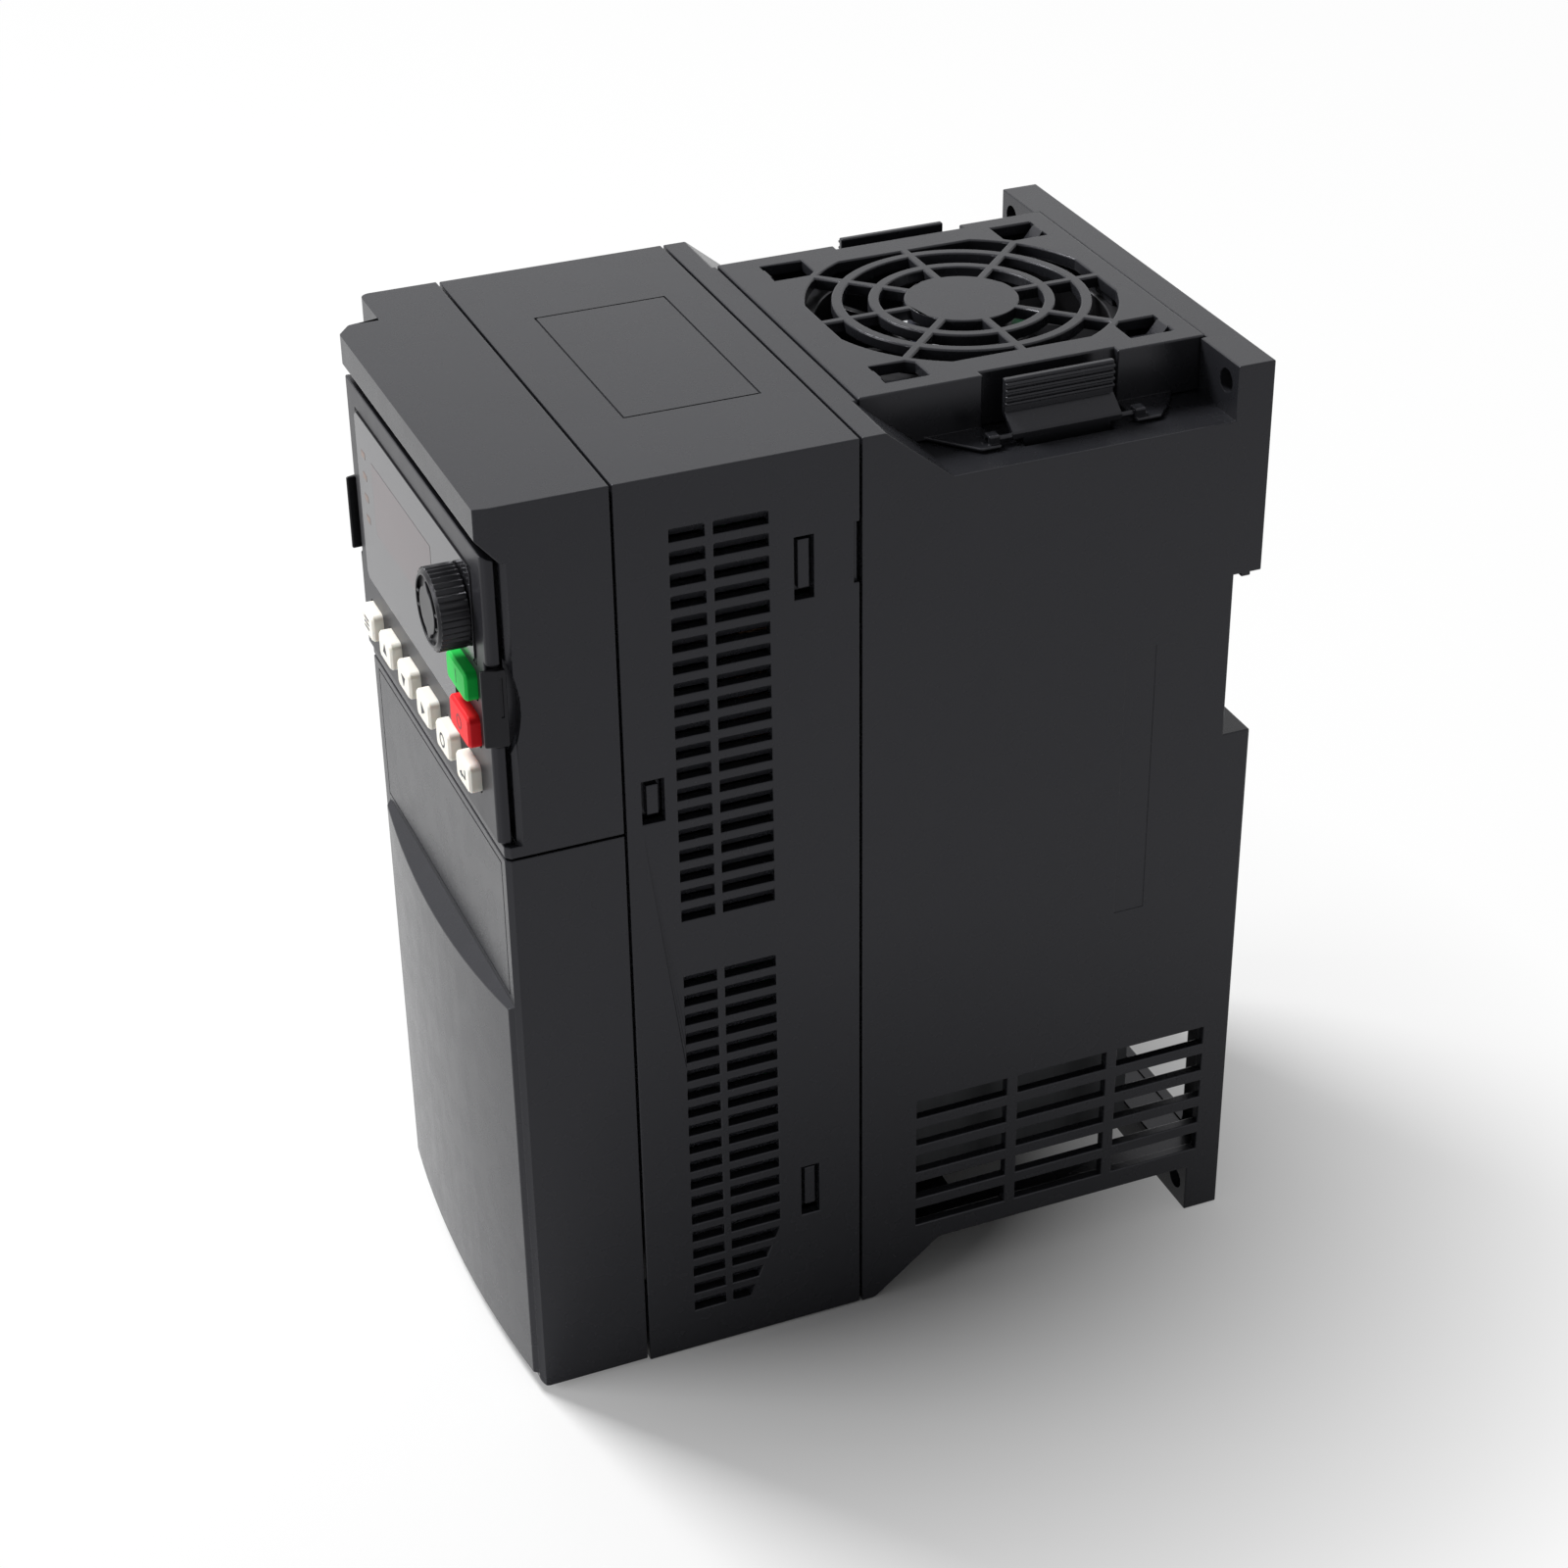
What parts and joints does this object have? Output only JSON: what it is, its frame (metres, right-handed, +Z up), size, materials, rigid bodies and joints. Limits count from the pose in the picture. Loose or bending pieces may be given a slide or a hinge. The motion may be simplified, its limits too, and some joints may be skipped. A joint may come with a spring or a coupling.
{
  "type": "variable frequency drive",
  "caption": "Black plastic motor drive with a plug-in keypad and speed knob, louvred sides, a clip-on top fan and a back for 35 mm rail or panel screws.",
  "frame": {"origin": "centre of the bounding box, on the standing plane", "axes": "+X to the right seen from the front, +Y back to the mounting plane, +Z up"},
  "size_m": [0.1, 0.161, 0.1973],
  "materials": {
    "black_shell": "satin fine texture",
    "black_film": "semi-gloss film",
    "display_glass": "dark tinted",
    "bare_aluminium": "extruded",
    "steel": "plated",
    "green_board": "solder mask",
    "capacitor_sleeve": "shrunk sleeve",
    "dark_moulding": "moulded",
    "green_terminal": "moulded",
    "rubber": "soft",
    "cream_key": "satin",
    "green_key": "satin",
    "red_key": "satin",
    "black_knob": "satin",
    "fan_black": "moulded",
    "copper": "enamelled wire",
    "bronze": "sintered"
  },
  "bodies": {
    "drive_body": {"rear_housing": "black_shell", "heat_sink": "bare_aluminium", "power_module": "dark_moulding", "power_board": "green_board", "bus_capacitors": "capacitor_sleeve", "relays": "dark_moulding", "transformer": "dark_moulding", "filter_choke": "dark_moulding", "power_terminals": "dark_moulding", "power_screws": "steel", "control_board": "green_board", "control_terminals": "green_terminal", "keypad_socket": "dark_moulding", "mid_frame": "black_shell", "cable_plate": "black_shell", "cable_grommets": "rubber", "upper_cover": "black_shell"},
    "front_cover": {"lower_cover": "black_shell"},
    "keypad": {"keypad_case": "black_shell", "keypad_back": "black_shell", "keypad_plug": "dark_moulding", "keypad_board": "green_board", "key_mat": "rubber", "display_module": "display_glass", "keypad_overlay": "black_film", "potentiometer": "dark_moulding"},
    "right_clip": {"keypad_clip_right": "black_shell"},
    "left_clip": {"keypad_clip_left": "black_shell"},
    "speed_knob": {"knob": "black_knob", "pot_shaft": "steel"},
    "key_1_body": {"key_1": "cream_key"},
    "key_2_body": {"key_2": "cream_key"},
    "key_3_body": {"key_3": "cream_key"},
    "key_4_body": {"key_4": "cream_key"},
    "key_5_body": {"key_5": "cream_key"},
    "key_6_body": {"key_6": "cream_key"},
    "run_key_body": {"run_key": "green_key"},
    "stop_key_body": {"stop_key": "red_key"},
    "fan_unit": {"fan_cover": "black_shell", "fan_frame": "fan_black", "fan_bearing": "bronze", "fan_stator": "copper"},
    "right_latch": {"fan_latch_right": "black_shell"},
    "left_latch": {"fan_latch_left": "black_shell"},
    "fan_spinner": {"fan_rotor": "fan_black"},
    "rail_lock": {"rail_latch": "black_shell"}
  },
  "joints": [
    {"name": "front_cover_slide", "type": "slide", "parent": "drive_body", "child": "front_cover", "axis": [0, -1, 0], "range_m": [0, 0.03]},
    {"name": "keypad_slide", "type": "slide", "parent": "drive_body", "child": "keypad", "axis": [0, -1, 0], "range_m": [0, 0.02]},
    {"name": "right_clip_push", "type": "slide", "parent": "keypad", "child": "right_clip", "axis": [-1, 0, 0], "range_m": [0, 0.0009], "stiffness_N_per_m": 2000},
    {"name": "left_clip_push", "type": "slide", "parent": "keypad", "child": "left_clip", "axis": [1, 0, 0], "range_m": [0, 0.0009], "stiffness_N_per_m": 2000},
    {"name": "knob_turn", "type": "hinge", "parent": "keypad", "child": "speed_knob", "pos_m": [0.0358, -0.0805, 0.1724], "axis": [0, -1, 0], "range_deg": [-150, 150]},
    {"name": "key_1_press", "type": "slide", "parent": "keypad", "child": "key_1_body", "axis": [0, 1, 0], "range_m": [0, 0.0008], "stiffness_N_per_m": 600},
    {"name": "key_2_press", "type": "slide", "parent": "keypad", "child": "key_2_body", "axis": [0, 1, 0], "range_m": [0, 0.0008], "stiffness_N_per_m": 600},
    {"name": "key_3_press", "type": "slide", "parent": "keypad", "child": "key_3_body", "axis": [0, 1, 0], "range_m": [0, 0.0008], "stiffness_N_per_m": 600},
    {"name": "key_4_press", "type": "slide", "parent": "keypad", "child": "key_4_body", "axis": [0, 1, 0], "range_m": [0, 0.0008], "stiffness_N_per_m": 600},
    {"name": "key_5_press", "type": "slide", "parent": "keypad", "child": "key_5_body", "axis": [0, 1, 0], "range_m": [0, 0.0008], "stiffness_N_per_m": 600},
    {"name": "key_6_press", "type": "slide", "parent": "keypad", "child": "key_6_body", "axis": [0, 1, 0], "range_m": [0, 0.0008], "stiffness_N_per_m": 600},
    {"name": "run_key_press", "type": "slide", "parent": "keypad", "child": "run_key_body", "axis": [0, 1, 0], "range_m": [0, 0.0008], "stiffness_N_per_m": 600},
    {"name": "stop_key_press", "type": "slide", "parent": "keypad", "child": "stop_key_body", "axis": [0, 1, 0], "range_m": [0, 0.0008], "stiffness_N_per_m": 600},
    {"name": "fan_unit_slide", "type": "slide", "parent": "drive_body", "child": "fan_unit", "axis": [0, 0, 1], "range_m": [0, 0.03]},
    {"name": "right_latch_squeeze", "type": "hinge", "parent": "fan_unit", "child": "right_latch", "pos_m": [0.0414, 0.04185, 0.1874], "axis": [0, -1, 0], "range_deg": [0, 9], "stiffness_Nm_per_rad": 2},
    {"name": "left_latch_squeeze", "type": "hinge", "parent": "fan_unit", "child": "left_latch", "pos_m": [-0.0414, 0.04185, 0.1874], "axis": [0, 1, 0], "range_deg": [0, 9], "stiffness_Nm_per_rad": 2},
    {"name": "fan_spin", "type": "hinge", "parent": "fan_unit", "child": "fan_spinner", "pos_m": [0, 0.0398, 0.18], "axis": [0, 0, 1], "continuous": true},
    {"name": "rail_latch_slide", "type": "slide", "parent": "drive_body", "child": "rail_lock", "axis": [0, 0, -1], "range_m": [0, 0.003], "stiffness_N_per_m": 1500}
  ]
}
